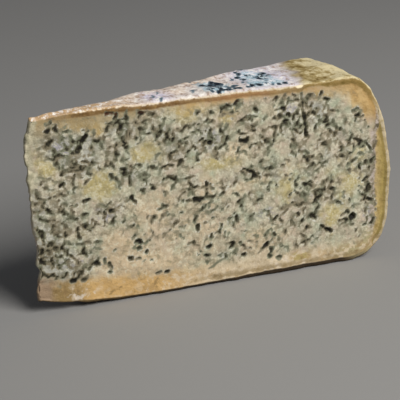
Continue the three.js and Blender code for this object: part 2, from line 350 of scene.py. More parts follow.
# Dark blots, soft grey strokes, short dark strokes and specks: how many are tried, how far apart, and
# the ranges of length, width and strength.
STROKE_KINDS = [
    (900, 1.9, (1.1, 3), (0.75, 1.15), (0.7, 1)),
    (2400, 1.5, (1.4, 3.2), (0.9, 1.5), (0.12, 0.44)),
    (2000, 1.5, (1.3, 3.2), (0.65, 0.95), (0.3, 0.75)),
    (2600, 1.1, (0.8, 1.3), (0.8, 1.1), (0.45, 1)),
]


class Marks:
    """Strokes of mould on one face: middles, half lengths, half widths, leans and strengths. The
    weaker a stroke is, the softer its edge."""

    def __init__(self, rows=()):
        self.rows = []
        for row in rows:
            self.add(*row)

    def add(self, a, b, length, width, lean, strength):
        self.rows.append((a, b, length / 2, width / 2, math.radians(lean), strength))

    def grown_on(self, points):
        """How mouldy each point is, how much it lies in the pale halo around mould, both from 0 to
        1, and how deep the paste has parted there."""
        clear = np.ones(len(points))
        halo = np.zeros(len(points))
        deepest = np.zeros(len(points))
        for a, b, half_length, half_wide, lean, strength in self.rows:
            soft = SOFT_EDGE + SOFTER_IF_WEAK * (1 - strength)
            reach = half_length + half_wide + soft + HALO_WIDTH
            near_it = np.flatnonzero(np.abs(points - (a, b)).max(axis=1) < reach)
            da, db = (points[near_it] - (a, b)).T
            along = da * math.cos(lean) + db * math.sin(lean)
            beside = db * math.cos(lean) - da * math.sin(lean)
            past_end = np.maximum(np.abs(along) - max(half_length - half_wide, 0), 0)
            away = np.hypot(past_end, beside)
            inside = strength * (1 - smoothstep(away, half_wide - soft, half_wide + soft))
            clear[near_it] *= 1 - inside
            around = strength * (1 - smoothstep(away, half_wide, half_wide + HALO_WIDTH))
            halo[near_it] = np.maximum(halo[near_it], around)
            if strength > HOLLOW_STRENGTH:
                depth = HOLLOW_DEPTH * half_wide * np.maximum(1 - away / half_wide, 0)
                deepest[near_it] = np.maximum(deepest[near_it], depth)
        return 1 - clear, halo, deepest


def soft_spots(points, spots):
    """The sum of soft oval spots: each has a middle, two half sizes and an amount."""
    total = np.zeros(len(points))
    for a, b, half_a, half_b, amount in spots:
        away = ((points[:, 0] - a) / half_a) ** 2 + ((points[:, 1] - b) / half_b) ** 2
        total += amount * np.exp(-away)
    return total


def packed_grains(rng):
    """The middles of randomly packed curd grains, and from 0 to 1 how closed the gap between each two
    is. All the strokes on a cut share them, so that they line up in strings."""
    columns = np.arange(-2, WHEEL_RADIUS / CURD_SPACING + 3)
    rows = np.arange(-2, WHEEL_HEIGHT / CURD_SPACING + 3)
    grains = np.stack(np.meshgrid(columns, rows), axis=2).reshape(-1, 2)
    grains = (grains + rng.uniform(-CURD_JITTER, CURD_JITTER, grains.shape)) * CURD_SPACING
    closed = rng.random((len(grains), len(grains)))
    return grains, (closed + closed.T) / 2


def grow_strokes(marks, grains, closed, rng, density, count, spacing, lengths, widths, strengths):
    """Strings strokes of one kind along the edges of the curd's grains, as thickly as density says."""
    tries = rng.uniform((0, 4), (WHEEL_RADIUS - 3, WHEEL_HEIGHT - 3), (count, 2))
    away = np.linalg.norm(tries[:, None] - grains[None], axis=2)
    first, second = np.argsort(away, axis=1)[:, :2].T
    across = grains[second] - grains[first]
    across /= np.linalg.norm(across, axis=1, keepdims=True)
    middle = (grains[second] + grains[first]) / 2
    off_edge = ((tries - middle) * across).sum(axis=1, keepdims=True)
    on_edge = tries - (off_edge - rng.normal(0, OFF_EDGE, off_edge.shape)) * across
    strayed = rng.random(count) < STRAY_SHARE
    spots = np.where(strayed[:, None], tries, on_edge)
    wanted = density(spots)
    kept = np.zeros((0, 2))
    for i in range(count):
        if (closed[first[i], second[i]] + rng.random()) / 2 > wanted[i]:
            continue
        room = spacing * rng.uniform(0.5, 1.5)
        if len(kept) and np.linalg.norm(kept - spots[i], axis=1).min() < room:
            continue
        kept = np.vstack([kept, spots[i]])
        edge_lean = math.degrees(math.atan2(across[i, 0], -across[i, 1]))
        lean = rng.uniform(-90, 90) if strayed[i] else edge_lean + rng.normal(0, LEAN_SPREAD)
        length = rng.uniform(*lengths)
        width = min(rng.uniform(*widths), length)
        marks.add(*spots[i], length, width, lean, rng.uniform(*strengths))


def veins(seed, density):
    """All the strokes that a rule draws on one cut."""
    marks = Marks()
    grains, closed = packed_grains(np.random.default_rng(seed))
    for place, kind in enumerate(STROKE_KINDS):
        grow_strokes(marks, grains, closed, np.random.default_rng(seed + place), density, *kind)
    return marks


# Strokes that stand out on the front cut: how far out, how high, length, width, lean and strength.
BY_THE_TIP = [
    (6.5, 79.5, 2.4, 1.9, 0, 1),
    (10.6, 80, 3.4, 1.1, 90, 0.8),
    (7.5, 74.5, 3.4, 1.3, 15, 0.9),
    (21.4, 72.6, 7.4, 1.5, 62, 1),
    (19.4, 69.4, 2.6, 1.5, 75, 1),
    (12, 68.3, 3, 1.3, -25, 0.9),
    (22, 64.5, 3.4, 1.1, -20, 0.9),
    (24.5, 66.5, 3, 1, -10, 0.7),
    (18, 60.8, 7, 1, 3, 0.8),
    (31.5, 61.5, 2.6, 1.2, -45, 0.9),
    (12.3, 55.5, 3.2, 1.7, 10, 1),
    (22.3, 47.3, 3.8, 1.4, 8, 1),
    (3.2, 35, 5.5, 1.4, 100, 1),
    (9, 28, 3, 1.5, 90, 0.9),
    (12, 27, 3, 1.1, -60, 0.7),
    (15.5, 24, 3, 1.1, -30, 0.6),
    (20.5, 28.6, 6.5, 1, -3, 0.7),
    (2.2, 24, 3, 1.7, 90, 0.9),
    (2, 19, 2, 1.3, 0, 0.8),
    (8.8, 15.4, 2, 1.5, 60, 0.8),
    (25.5, 18.9, 3.2, 1.5, 40, 1),
    (23, 16.7, 2.6, 1.4, 30, 0.9),
    (27.5, 25.3, 2.6, 1.3, -30, 0.5),
    (29.6, 19.5, 2.4, 1.2, 80, 0.8),
    (32, 16.5, 3.2, 1.5, -60, 0.8),
    (31.6, 13.9, 1.8, 1.3, 0, 0.9),
    (34, 23.5, 1.8, 1.1, 60, 0.7),
    (15.8, 12.7, 3.4, 2.4, 0, 1),
    (20.2, 12.2, 2.2, 1.5, -20, 0.8),
    (18.2, 13.6, 3, 1, 10, 0.6),
]
IN_THE_MIDDLE = [
    (33, 83.4, 3.4, 1.5, -10, 0.9),
    (46, 81.4, 2.6, 1.1, -20, 0.8),
    (50.4, 80.2, 3, 1, -30, 0.8),
    (85, 80.4, 3.4, 1.3, -20, 0.9),
    (88.4, 80.8, 2.8, 1.7, 30, 0.9),
    (97.4, 76.6, 3, 1.6, -50, 0.9),
    (37.5, 77.5, 5, 1.1, -70, 0.8),
    (54, 72, 3.4, 2, 45, 0.8),
    (77, 65, 3, 1.9, 0, 1),
    (52, 57.3, 4, 1.3, -20, 0.9),
    (60.5, 51, 2.6, 1.2, -30, 0.9),
    (41.5, 53.5, 7, 1.2, 86, 0.8),
    (38.5, 54, 5, 1, 84, 0.5),
    (64, 43.5, 5.5, 1, 38, 0.7),
    (69, 44.5, 4, 1, -70, 0.7),
    (74, 41, 8, 1, -6, 0.7),
    (43, 44, 3.2, 1.4, -50, 1),
    (33.2, 41.2, 2.4, 1.7, 30, 1),
    (71.3, 27.5, 3.6, 1.7, 90, 1),
    (44.6, 25.8, 3.4, 2.1, -10, 1),
    (41, 18.6, 3, 1.9, -10, 1),
    (44.3, 18.3, 2, 1.3, 0, 0.7),
    (53, 10.2, 2.6, 1.4, 0, 0.8),
    (76.5, 18.4, 3, 1.7, 10, 1),
    (48, 20.8, 2, 1.4, 45, 0.9),
    (57, 9.7, 2.8, 1.4, 10, 0.9),
    (80, 9.2, 7.5, 0.8, 30, 0.6),
    (87, 16.5, 3, 1.6, 55, 0.9),
    (91, 17.7, 2, 1, 30, 0.8),
    (93, 11.2, 2.2, 1.6, 0, 1),
]
BY_THE_WALL = [
    (110.4, 75.6, 3, 1.6, -15, 1),
    (113.2, 73, 2.6, 2, -50, 1),
    (111.4, 70.2, 2.4, 1.5, 60, 1),
    (113.6, 79, 4.4, 0.9, -35, 0.7),
    (109, 73, 2, 1.4, 0, 0.8),
    (92.2, 63.6, 4.4, 1.4, -15, 1),
    (93.8, 50.8, 4.4, 0.9, -34, 1),
    (97, 48.5, 5, 1.3, -36, 1),
    (99.4, 46.6, 3, 0.9, -40, 0.9),
    (122, 40.5, 4, 1.3, -15, 0.9),
    (128, 33, 4.5, 1.4, 40, 1),
    (126.5, 23.8, 4.4, 1.4, -40, 1),
    (131.4, 18.6, 4, 1.3, -35, 1),
    (134, 16.6, 4.4, 2.3, -30, 1),
    (145.8, 21.4, 4.2, 3.2, 20, 1),
    (142.6, 19.6, 2.4, 1.3, 20, 1),
    (141, 20.4, 4, 1.2, 5, 0.9),
    (145.6, 68.4, 3, 1.5, -10, 0.9),
    (128.4, 80, 2.6, 1.5, 60, 0.9),
    (131, 77.3, 3.4, 1.7, -20, 0.9),
    (144.8, 70.8, 4, 1.5, 10, 0.8),
    (147, 57.2, 6, 1.3, -22, 0.9),
    (152.5, 53.5, 5, 1.2, -55, 1),
    (152, 37.6, 3.4, 1.2, 20, 1),
    (156, 18, 3.4, 1.4, 70, 0.9),
    (152, 16.5, 2.4, 1.4, 20, 0.9),
    (154.5, 28.2, 4.2, 1.6, -20, 1),
    (108.3, 26.5, 3.4, 1.5, 45, 1),
    (89.3, 29, 2.8, 1.5, 90, 1),
    (103.6, 14.3, 3.4, 2.2, 30, 1),
    (105.7, 8.8, 3, 1.3, -30, 0.8),
    (110, 7.3, 2.8, 1.6, 0, 0.8),
    (153.5, 33, 4, 1.3, 80, 0.9),
    (154.8, 47, 3, 1.2, 60, 0.9),
]
CRACK = [(119.5, 77, 10, 1, -82, 0.9), (121.1, 67, 12, 1.3, -82, 1), (122.4, 61.6, 3, 1, -60, 0.7)]

# Patches of the front cut: how far out, how high, two half sizes, and how much. The first list has
# less mould than elsewhere, the second more, and the others tint the paste.
CLEAR_PATCHES = [
    (70, 20, 50, 13, -0.2),
    (50, 11, 20, 6, -0.5),
    (139, 11, 10, 5, -0.3),
    (103, 74, 6, 6, -0.4),
    (124, 60, 4, 3, -0.5),
    (112, 73, 4, 4, -0.3),
    (137, 82, 12, 5, -1.2),
    (20, 80.5, 9, 3.5, -0.6),
    (0, 68, 3, 12, -0.9),
    (28, 78, 5, 3, -0.5),
    (7, 64, 4, 4, -0.6),
    (29, 53, 8, 6, -0.8),
    (48, 65, 7, 5, -0.6),
    (66, 79, 6, 4, -0.4),
    (86, 74, 6, 7, -0.4),
    (78, 54, 9, 5, -0.8),
    (52, 42, 9, 6, -0.5),
    (35, 22, 7, 12, -0.6),
    (112, 38, 5, 6, -0.5),
    (136, 25, 5, 5, -0.8),
    (145, 38, 5, 6, -0.6),
    (149, 78, 10, 6, -1.4),
    (147, 51, 4, 4, -0.6),
    (111, 58, 4, 5, -0.4),
    (93, 42, 5, 4, -0.3),
    (20, 30, 7, 5, -0.4),
    (148, 17, 9, 6, -0.3),
    (132, 42, 8, 5, -0.3),
]
MOULDY_PATCHES = [
    (13, 72, 9, 6, 1),
    (21, 65, 9, 6, 0.7),
    (38, 75, 13, 6, 0.4),
    (56, 73, 7, 6, 0.35),
    (70, 49, 5, 4, 0.5),
    (30, 37, 8, 5, 0.2),
    (82, 68, 14, 6, 0.25),
    (4, 34, 7, 10, 0.7),
    (2, 50, 6, 8, 0.4),
    (7, 24, 10, 9, 1),
    (18, 18, 8, 6, 0.3),
    (77, 66, 7, 7, 0.4),
    (61, 66, 6, 5, 0.25),
    (116, 72, 12, 9, 0.5),
    (128, 73, 5, 6, 0.4),
    (150, 48, 5, 12, 0.3),
    (138, 52, 14, 8, 0.15),
    (21, 74, 6, 5, 0.4),
    (38, 58, 7, 5, 0.35),
    (33, 38, 8, 7, 0.2),
    (128, 33, 12, 6, 0.25),
]
YELLOW_PATCHES = [
    (7, 64, 6, 6, 0.8),
    (28, 78, 6, 4, 0.8),
    (28, 53, 9, 7, 1.2),
    (48, 65, 8, 5, 0.8),
    (67, 79, 8, 5, 0.8),
    (84, 75, 6, 8, 0.9),
    (80, 55, 10, 4, 0.8),
    (113, 39, 5, 8, 0.9),
    (136, 24, 6, 6, 0.9),
    (149, 51, 5, 5, 0.7),
    (145, 37, 6, 6, 0.6),
]
GOLD_PATCHES = [
    (20, 80, 9, 4, 1),
    (29, 76, 4, 4, 0.8),
    (67, 80, 9, 4, 0.7),
    (86, 78, 8, 5, 0.7),
    (128, 80, 8, 4, 0.8),
    (49, 65, 5, 3, 0.5),
]
VIOLET_PATCHES = [
    (12, 71, 5, 4, 1),
    (31, 40, 5, 4, 0.8),
    (77, 66, 4, 5, 0.8),
    (103, 29, 6, 4, 0.7),
    (114, 75, 4, 4, 0.8),
    (154, 22, 4, 4, 0.7),
    (17, 20, 7, 5, 0.6),
    (128, 34, 8, 4, 0.4),
]
PEACH_PATCHES = [
    (4, 49, 6, 4, 0.7),
    (52, 40, 12, 10, 0.8),
    (75, 46, 6, 5, 0.9),
    (89, 60, 8, 7, 0.8),
    (75, 28, 12, 14, 0.7),
    (103, 16, 12, 8, 0.9),
    (50, 22, 12, 10, 0.6),
    (34, 24, 8, 12, 0.9),
    (46, 14, 26, 5, 0.8),
    (92, 43, 6, 4, 0.7),
    (112, 76, 10, 4, 0.6),
]


def room_for_mould(points):
    """1 in the paste and 0 in the bands next to the base and the crust, where no mould grows. The
    base's band is highest at the tip, and the wall's is thinner low down."""
    r, z = points.T
    lowest = 9 + 4 * smoothstep(r, 16, 2) - 2.5 * smoothstep(r, 30, 60) + 2 * swell(r, z, 11)
    by_wall = smoothstep(r, 140, 152) * (1 - 0.5 * smoothstep(z, 45, 20))
    gap = 1.5 + 6 * by_wall + 1.3 * smoothstep(r, 50, 66) * (1 - by_wall)
    in_from_crust = smoothstep(distance_to(crust_line, points), gap, gap + 2.5 - by_wall)
    return smoothstep(z, lowest, lowest + 5) * in_from_crust


def front_mould(points):
    """How thickly mould grows at each point of the front cut."""
    patches = soft_spots(points, CLEAR_PATCHES + MOULDY_PATCHES)
    zones = 0.52 + 0.22 * swell(points[:, 0], points[:, 1], 19) + patches
    return np.clip(zones, 0, 1.2) * room_for_mould(points)


def back_mould(points):
    """How thickly mould grows at each point of the back cut."""
    zones = 0.42 + 0.36 * swell(points[:, 0], points[:, 1], 31)
    return np.clip(zones, 0, 1.2) * room_for_mould(points)


# A crumbly wander, in coarse and fine steps, which bends the strokes.
warp = np.stack([lattice_noise(places, 2.6, 41), lattice_noise(places, 2.6, 42)], axis=1)
warp += 0.6 * np.stack([lattice_noise(places, 1.3, 43), lattice_noise(places, 1.3, 44)], axis=1)
cut_places = np.stack([places[:, 0] / math.cos(WEDGE_ANGLE / 2), places[:, 2]], axis=1)
on_front = share < -0.8
on_back = share > 0.8
in_paste = room_for_mould(section_points)
vein, halo, parting, mould = np.zeros((4, len(places)))
for on_face, seed, zones in ((on_front, FRONT_SEED, front_mould), (on_back, BACK_SEED, back_mould)):
    grown = veins(seed, zones).grown_on((cut_places + DRAWN_BEND * warp)[on_face])
    vein[on_face], halo[on_face], parting[on_face] = grown
    mould[on_face] = zones(cut_places[on_face])
strokes = Marks(BY_THE_TIP + IN_THE_MIDDLE + BY_THE_WALL + CRACK)
grown = strokes.grown_on((cut_places + NAMED_BEND * warp)[on_front])
vein[on_front] = 1 - (1 - vein[on_front]) * (1 - grown[0])
halo[on_front] = np.maximum(halo[on_front], grown[1])
parting[on_front] = np.maximum(parting[on_front], grown[2])
# The rind itself has no veins, and the thin tip has shallower hollows.
inside_rind = smoothstep(crust_depth, 0.8, 2.4) * smoothstep(base_depth, 0.5, 1.5)
vein *= inside_rind
halo *= inside_rind * (0.3 + 0.7 * in_paste)
parting *= inside_rind * np.minimum(1, half_width(radius_mm) / 5)


def tint(patches, elsewhere):
    """How much a tint shows at each vertex: by its patches on the front cut, and as given elsewhere."""
    return np.where(on_front, soft_spots(cut_places, patches), elsewhere)


tints = {
    "yellow": tint(YELLOW_PATCHES, 0.5 * swell(radius_mm, height_mm, 37)),
    "peach": tint(PEACH_PATCHES, 0.5 * swell(height_mm + 40, radius_mm, 43)),
    "violet": tint(VIOLET_PATCHES, 0.5 * swell(radius_mm, height_mm + 15, 23)),
    "gold": tint(GOLD_PATCHES, 0),
}

# Strokes of blue-black mould on the top: how far from the tip, how far across, length, width, lean
# and strength.
TOP_MARKS = [
    (80.5, 2.4, 3.4, 2.2, 55, 1),
    (83.8, 0.6, 3, 2.2, 60, 1),
    (87.2, 1.8, 4, 2, 65, 1),
    (85.4, 3.4, 2.8, 1.8, 55, 0.8),
    (86.2, -9.2, 3.6, 2.2, 50, 1),
    (82, -9.4, 3, 1.8, 60, 0.9),
    (80.2, -4, 4.6, 1.1, 62, 0.5),
    (84.6, -5, 4.6, 1.1, 62, 0.5),
    (92, -5, 4, 1.6, 60, 0.4),
    (98, -8.6, 3.6, 2.2, 50, 1),
    (101.4, -9.8, 3, 1.9, 60, 0.8),
    (105.2, -8.4, 3, 1.6, 60, 0.5),
    (110.2, -11.2, 3.8, 1.8, 60, 0.9),
    (113.6, -10.6, 3, 1.7, 60, 0.9),
    (90, -8.2, 3, 1.8, 60, 0.9),
    (106.6, 0, 3.6, 2.2, 60, 0.9),
    (100.8, 1.4, 3.6, 2.2, 60, 0.75),
    (97, -3, 4.4, 1.4, 60, 0.6),
    (96.4, 5, 3.6, 1.5, 60, 0.6),
    (102, 8, 3.6, 1.2, 60, 0.4),
    (105.8, 13.2, 3, 2, 50, 0.8),
    (72.3, -3.6, 5, 1.3, 60, 0.5),
    (78, 8.4, 4.6, 1.3, 60, 0.45),
    (56.6, -5.6, 4, 1.6, 55, 0.45),
    (54.6, -1.6, 3.4, 1.3, 55, 0.4),
    (58, 1, 3, 1.3, 55, 0.35),
]
# Patches of the top that the mould tints, and patches that it speckles: how far from the tip, how far
# across, two half sizes, and how strongly or with how many specks.
BLUE_PATCHES = [(83, -3, 7, 8, 1.2), (106, 2, 8, 10, 1.1), (106, -8, 9, 4, 0.9), (56, -4, 5, 6, 0.25)]
LILAC_PATCHES = [(56, -3, 8, 8, 0.8), (104, 3, 9, 12, 0.8), (116, 0, 6, 14, 0.5), (73, 0, 5, 10, 0.3)]
SPECKLED_PATCHES = [(84.5, -3, 5, 7, 30), (106, 0, 7, 11, 28), (93, -6, 4, 6, 4)]

top_places = places[:, :2]
on_top = height_mm > WHEEL_HEIGHT - 6
top_marks = Marks(TOP_MARKS)
rng = np.random.default_rng(TOP_SEED)
for a, b, half_a, half_b, count in SPECKLED_PATCHES:
    for _ in range(count):
        top_marks.add(
            a + half_a * rng.uniform(-1, 1),
            b + half_b * rng.uniform(-1, 1),
            rng.uniform(1.6, 2.8),
            rng.uniform(1.1, 1.6),
            rng.uniform(40, 80),
            rng.uniform(0.6, 1),
        )
mark_on_top = on_top * top_marks.grown_on(top_places + TOP_BEND * warp)[0]
blue_bloom = on_top * soft_spots(top_places, BLUE_PATCHES)
lilac_bloom = on_top * soft_spots(top_places, LILAC_PATCHES)
slanted = places[:, 0] - 0.35 * places[:, 1] + 2.5 * lattice_noise(places, 4.5, 61)
oily_top = smoothstep(slanted, 119, 127) * smoothstep(height_mm, 60, 74)

# ---- The crumb ----------------------------------------------------------------------------------
# The cuts are crumbly and the rind is pitted, so every face has a low relief, highest at the tip. The
# paste has parted under the strongest strokes of mould. Each point of the mesh carries what the finish
# needs to know there, such as how deep under the rind it lies.

# Relief: how high, how wide and its seed.
FINE_CRUMB = (0.16, 1.7, 51)
COARSE_CRUMB = (0.22, 4.2, 52)
LUMPS = (0.35, 6.5, 53)
TIP_CRUMBLE = 1.5
TIP_CRUMBLE_REACH = 4
FOOT_WEAR = 0.2
FOOT_WEAR_HEIGHT = 3


def relief(height, width, seed):
    return height * lattice_noise(places, width, seed)


crumble = relief(*FINE_CRUMB) + relief(*COARSE_CRUMB)
crumble *= 1 + TIP_CRUMBLE * np.exp(-radius_mm / TIP_CRUMBLE_REACH)
crumble += relief(*LUMPS) - FOOT_WEAR * smoothstep(height_mm, 0, FOOT_WEAR_HEIGHT)
shape = places + normals * (crumble - parting)[:, None]
shape[:, 2] = np.maximum(shape[:, 2], 0)
shape[:, 0] += cad_box[0].x / MM + TIP_OVERHANG

mesh = bpy.data.meshes.new("blue_cheese")
mesh.from_pydata((shape * MM).tolist(), [], quads.tolist())
mesh.shade_smooth()
fields = {
    "out": radius_mm,
    "up": height_mm,
    "crust_depth": crust_depth,
    "base_depth": base_depth,
    "in_paste": in_paste,
    "vein": vein,
    "halo": halo,
    "mould": mould,
    "mark_on_top": mark_on_top,
    "blue_bloom": blue_bloom,
    "lilac_bloom": lilac_bloom,
    "oily_top": oily_top,
    **tints,
}
for name, values in fields.items():
    mesh.attributes.new(name, "FLOAT", "POINT").data.foreach_set("value", values)
mesh.validate()
cheese = bpy.data.objects.new("blue_cheese", mesh)
bpy.context.collection.objects.link(cheese)

# ---- The paste ----------------------------------------------------------------------------------
# Ripened curd, matt and a little moist: cream, with straw, peach and greenish patches where the curd
# drained unevenly, and grey where the mould is thick. Faint grey lines follow the curd grains' edges.

CREAM = (190, 182, 157)
WARM_CREAM = (202, 185, 163)
GREEN_CREAM = (178, 182, 156)
PEACH_CREAM = (214, 192, 158)
STRAW = (206, 192, 144)
DEEP_STRAW = (194, 179, 125)
MOULDY_CREAM = (178, 176, 164)
VIOLET_GREY = (166, 162, 170)
FROST_WHITE = (220, 215, 212)
OLD_GOLD = (190, 164, 110)
CHALKY_CURD = (228, 224, 198)
SEAM_SPACING = 4
SEAM_WANDER = 3.5
SEAM_WANDER_LENGTH = 2.2


def colour(red, green, blue):
    """A shader colour from screen values of 0 to 255."""
    parts = [value / 255 for value in (red, green, blue)]
    return (*[p / 12.92 if p <= 0.04045 else ((p + 0.055) / 1.055) ** 2.4 for p in parts], 1)


class Shade:
    """An output of a node in a material, which Python's operators combine with others and numbers."""

    def __init__(self, tree, socket=None):
        self.tree = tree
        self.socket = socket

    def make(self, kind, settings, inputs, output=0):
        node = self.tree.nodes.new("ShaderNode" + kind)
        for name, value in settings.items():
            setattr(node, name, value)
        for name, value in inputs.items():
            if isinstance(value, Shade):
                self.tree.links.new(value.socket, node.inputs[name])
            else:
                node.inputs[name].default_value = value
        return Shade(self.tree, node.outputs[output])

    def maths(self, operation, first, second):
        return self.make("Math", {"operation": operation}, {0: first, 1: second})

    def __add__(self, other):
        return self.maths("ADD", self, other)

    __radd__ = __add__

    def __sub__(self, other):
        return self.maths("SUBTRACT", self, other)

    def __rsub__(self, other):
        return self.maths("SUBTRACT", other, self)

    def __mul__(self, other):
        return self.maths("MULTIPLY", self, other)

    __rmul__ = __mul__

    def over(self, low, high):
        """0 below low, 1 above high and smooth between. With low above high it falls instead."""
        return self.make(
            "MapRange",
            {"interpolation_type": "SMOOTHSTEP"},
            {"Value": self, "From Min": low, "From Max": high},
        )

    def mix(self, low, high):
        """A colour: low where this is 0 and high where it is 1. Each is a colour's red, green and
        blue or another mix."""
        low, high = (c if isinstance(c, Shade) else colour(*c) for c in (low, high))
        return self.make(
            "Mix", {"data_type": "RGBA", "clamp_factor": True}, {0: self, 6: low, 7: high}, output=2
        )


material = bpy.data.materials.new("blue_cheese")
material.use_nodes = True
tree = material.node_tree
surface = tree.nodes["Principled BSDF"]
shade = Shade(tree)
here = shade.make("TexCoord", {}, {}, output="Object")


def attribute(name):
    return shade.make("Attribute", {"attribute_name": name}, {}, output="Fac")


def noise(size_mm, detail, roughness, w=0.0):
    return shade.make(
        "TexNoise",
        {"noise_dimensions": "4D"},
        {"Vector": here, "W": w, "Scale": 1 / (size_mm * MM), "Detail": detail, "Roughness": roughness},
    )


grit = noise(0.9, 2, 0.6)
speck = noise(1.9, 3, 0.6, w=1.7)
curd = noise(3.2, 2, 0.5, w=9.1)
blotch = noise(5.5, 4, 0.6, w=3.0)
hue = noise(6.5, 3, 0.6, w=21.0)
broad = noise(16, 3, 0.5, w=5.0)
mottles = {"grit": grit, "speck": speck, "curd": curd, "blotch": blotch, "broad": broad}


def rough(value, **amounts):
    """The value, made uneven by mottling: each kind shifts it by half of its amount at most."""
    for name, amount in amounts.items():
        value = value + (mottles[name] - 0.5) * amount
    return value


out = attribute("out")
up = attribute("up")
in_paste = attribute("in_paste")
mould_here = attribute("mould")
violet_here = attribute("violet")
streaky = rough(curd, speck=0.6).over(0.42, 0.58)
crumbly = rough(speck, grit=0.7)

paste = hue.over(0.5, 0.66).mix(CREAM, WARM_CREAM)
paste = hue.over(0.5, 0.34).mix(paste, GREEN_CREAM)
paste = rough(attribute("peach"), curd=1.5).over(0, 1.1).mix(paste, PEACH_CREAM)
yolky = rough(attribute("yellow"), curd=1.5, speck=0.9, broad=1.6).over(0.1, 1)
paste = yolky.mix(paste, streaky.mix(STRAW, DEEP_STRAW))
paste = rough(mould_here, blotch=1.5).over(0.45, 1.2).mix(paste, MOULDY_CREAM)
paste = rough(violet_here, speck=2.4).over(0.3, 0.9).mix(paste, VIOLET_GREY)
frost = violet_here.over(0.2, 0.7) * rough(speck, grit=0.8).over(0.54, 0.66)
paste = frost.mix(paste, FROST_WHITE)
paste = rough(attribute("gold"), curd=1).over(0.2, 1).mix(paste, OLD_GOLD)

seam_waves = {"Vector": here, "Scale": 1 / (SEAM_WANDER_LENGTH * MM), "Detail": 2}
wander = shade.make("TexNoise", {}, seam_waves, output="Color")
wander_inputs = {0: wander, 1: (SEAM_WANDER * MM,) * 3, 2: here}
wandered = shade.make("VectorMath", {"operation": "MULTIPLY_ADD"}, wander_inputs)
packing = {"Vector": wandered, "Scale": 1 / (SEAM_SPACING * MM), "Randomness": 1}
off_seam = shade.make("TexVoronoi", {"feature": "DISTANCE_TO_EDGE"}, packing, output="Distance")
seam = rough(0.5 - off_seam * (0.6 * SEAM_SPACING), speck=3.6, curd=2)
faint = (mould_here * 0.8 + 0.4) * seam * in_paste
tone = attribute("vein") * rough(1.04, speck=1.3) + faint * 0.17

# ---- The dried edges ----------------------------------------------------------------------------
# Where the paste lay against the shelf it dried to a golden band, paler towards the wall, with a few
# white crumbs. Under the rind it dried too: tan under the top, amber in the upper corner, and along
# the wall a mustard band behind a thin pinkish strip.

PALE_TAN = (212, 194, 162)
GOLDEN = (216, 178, 118)
GREY_TAN = (184, 172, 132)
OLIVE_TAN = (186, 168, 112)
DARK_TAN = (158, 132, 86)
ORANGE_TAN = (192, 160, 112)
CREAMY_CURD = (230, 212, 182)
PINKISH_TAN = (162, 138, 112)
PIT_BROWN = (128, 104, 66)
WHITE_CRUMB = (228, 214, 194)
AMBER = (210, 178, 122)
DEEP_AMBER = (190, 156, 100)
PALE_AMBER = (194, 174, 136)
RUSTY_TAN = (188, 150, 92)
DUSKY_TAN = (168, 150, 112)
PINK_CREAM = (204, 190, 178)
PINK_BROWN = (150, 136, 112)
MUSTARD = (180, 158, 92)
PALE_MUSTARD = (198, 174, 124)
DARK_MUSTARD = (164, 140, 82)
GROOVE_BROWN = (150, 130, 74)
MOULD_CHAIN = (84, 76, 50)
RIM_CREAM = (200, 184, 152)
RIM_TAN = (180, 162, 122)

crust = attribute("crust_depth")
base = attribute("base_depth")
wall_side = up.over(82, 66) * out.over(140, 150)

golden = out.over(84, 50).mix(PALE_TAN, GOLDEN)
golden = rough(out, blotch=20).over(132, 146).mix(golden, GREY_TAN)
olive_spot = rough(out, curd=6).over(115, 118) * rough(out, curd=6).over(127, 123)
golden = (olive_spot * base.over(3.5, 5)).mix(golden, OLIVE_TAN)
golden = rough(out, blotch=12).over(26, 14).mix(golden, DARK_TAN)
golden = (rough(blotch, speck=0.7).over(0.52, 0.64) * 0.5).mix(golden, ORANGE_TAN)
creamy = rough(curd, speck=0.7).over(0.5, 0.38) * (0.25 + out.over(35, 70) * 0.5)
golden = creamy.mix(golden, CREAMY_CURD)
golden = rough(out, curd=6).over(9, 4).mix(golden, PINKISH_TAN)
base_pits = (curd * 0.6 + speck * 0.4).over(0.55, 0.64) * base.over(2, 3.5) * 0.55
golden = base_pits.mix(golden, PIT_BROWN)
ragged_base = rough(base, blotch=9, speck=3)
paste = (ragged_base + out.over(30, 70) * 1.5).over(14, 8).mix(paste, golden)
crumbs = (speck * 0.6 + curd * 0.4).over(0.47, 0.36)
crumbs = crumbs * (out.over(8, 14) * out.over(30, 22) + out.over(95, 108) * out.over(128, 116))
paste = (crumbs * ragged_base.over(10, 4)).mix(paste, WHITE_CRUMB)
paste = (crumbly.over(0.5, 0.3) * in_paste * 0.62).mix(paste, CHALKY_CURD)

corner_reach = rough(out.over(122, 144) * 9.5, blotch=9, speck=3)
corner = (crust - corner_reach).over(4, -2.5) * out.over(112, 122) * up.over(62, 70)
amber = curd.over(0.4, 0.6).mix(AMBER, DEEP_AMBER)
amber = rough(out, blotch=10).over(145, 132).mix(amber, PALE_AMBER)
paste = corner.mix(paste, amber)
ragged_crust = rough(crust, speck=2, blotch=1.5)
under_top = ragged_crust.over(6.5, 2.5) * (broad * 0.6 + blotch * 0.4).over(0.62, 0.44)
paste = (under_top * 0.85).mix(paste, RUSTY_TAN)
dusky = rough(ragged_crust, curd=6).over(12, 5) * rough(out, blotch=24).over(56, 40)
paste = (dusky * 0.7).mix(paste, DUSKY_TAN)

